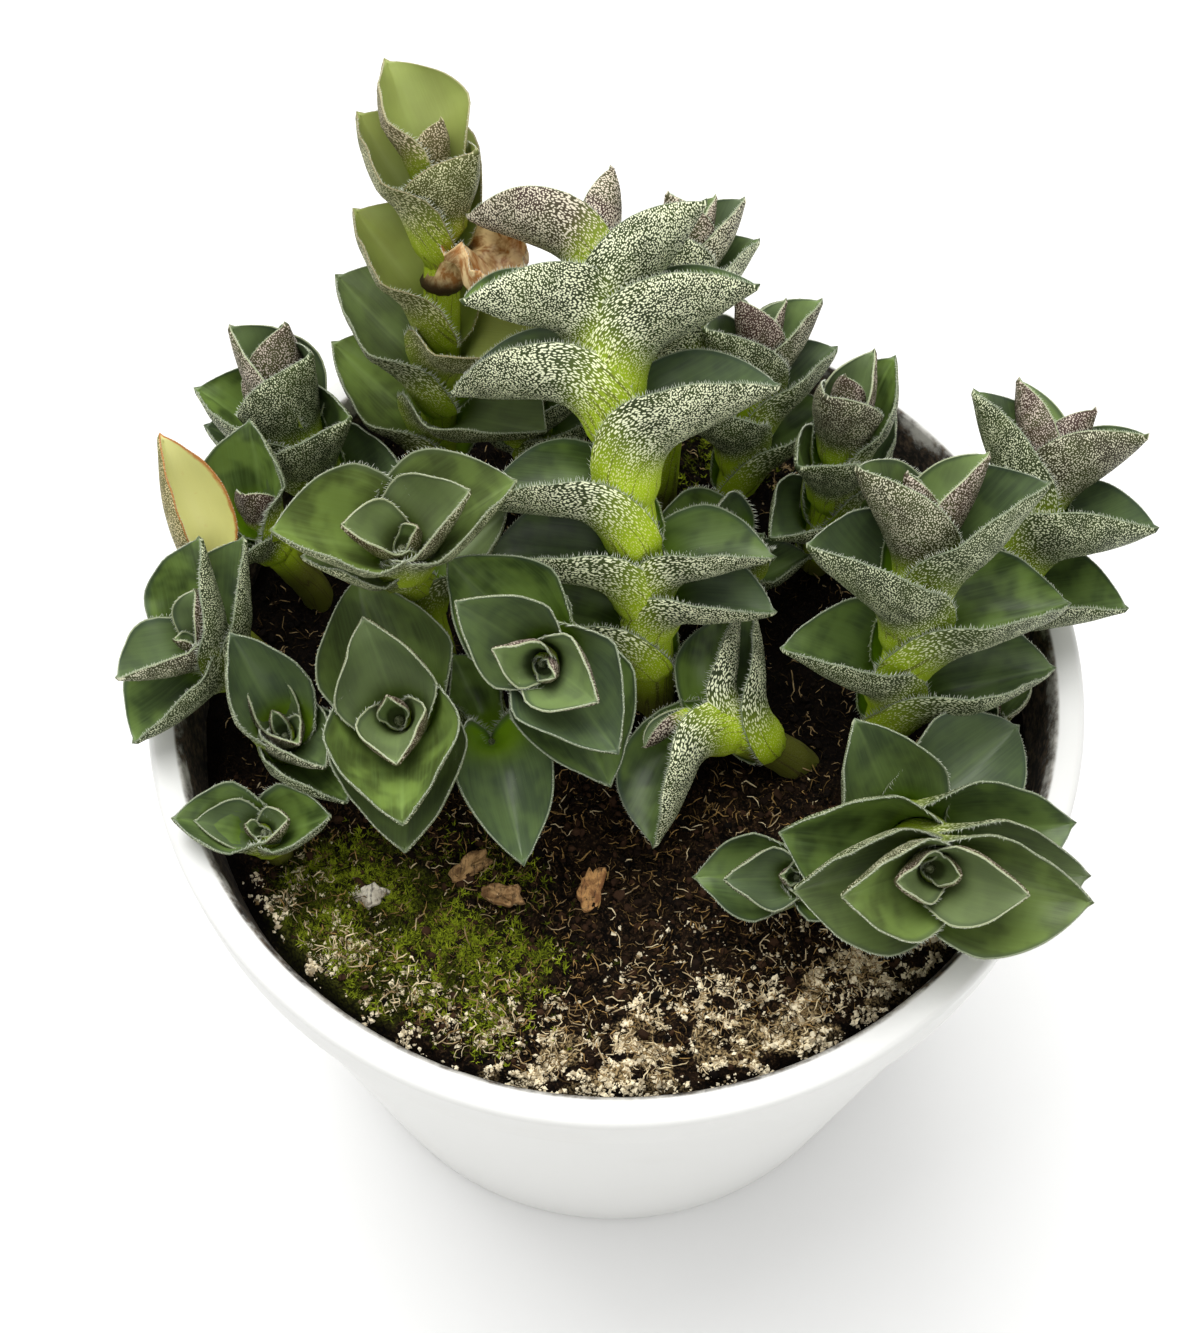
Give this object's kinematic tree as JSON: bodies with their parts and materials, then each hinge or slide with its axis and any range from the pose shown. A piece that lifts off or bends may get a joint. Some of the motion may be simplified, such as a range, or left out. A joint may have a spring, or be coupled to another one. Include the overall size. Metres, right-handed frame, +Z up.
{
  "type": "potted chain plant",
  "caption": "Small trailing succulent with boat-shaped clasping leaves in two rows on upright and leaning stems, growing in a round tapered pot filled with soil.",
  "frame": {"origin": "centre of the pot's underside, on the surface that the pot stands on", "axes": "+Z up, +Y to the back of the plant as the picture shows it, +X to its right"},
  "size_m": [0.129, 0.12, 0.1481],
  "materials": {
    "pot": "satin",
    "soil": "matte",
    "bark": "matte",
    "leaf": "satin"
  },
  "bodies": {
    "root": {"pot": "pot", "soil": "soil", "bark_chip_left": "bark", "bark_chip_centre": "bark", "bark_chip_right": "bark", "bark_chip_pale": "bark", "rosette_front_right": "leaf", "leafy_stem_tall_centre": "leaf", "leafy_stem_right": "leaf", "rosette_left_front": "leaf", "rosette_centre": "leaf", "rosette_left_back": "leaf", "leafy_stem_tall_left": "leaf", "leafy_stem_back_left": "leaf", "old_leaf_left_edge": "leaf", "leafy_stem_over_left_rim": "leaf", "leafy_stem_over_right_rim": "leaf", "leafy_stem_back_right": "leaf", "leafy_stem_back_right_inner": "leaf", "leafy_stem_back_centre": "leaf", "leafy_stem_left_edge": "leaf", "rosette_left_soil": "leaf", "rosette_left_low": "leaf", "rosette_front_small": "leaf", "creeping_stem_centre": "leaf", "low_leaves_centre": "leaf", "low_leaves_right": "leaf", "bud_right_rim": "leaf", "leafy_stem_back_left_inner": "leaf"}
  },
  "joints": []
}
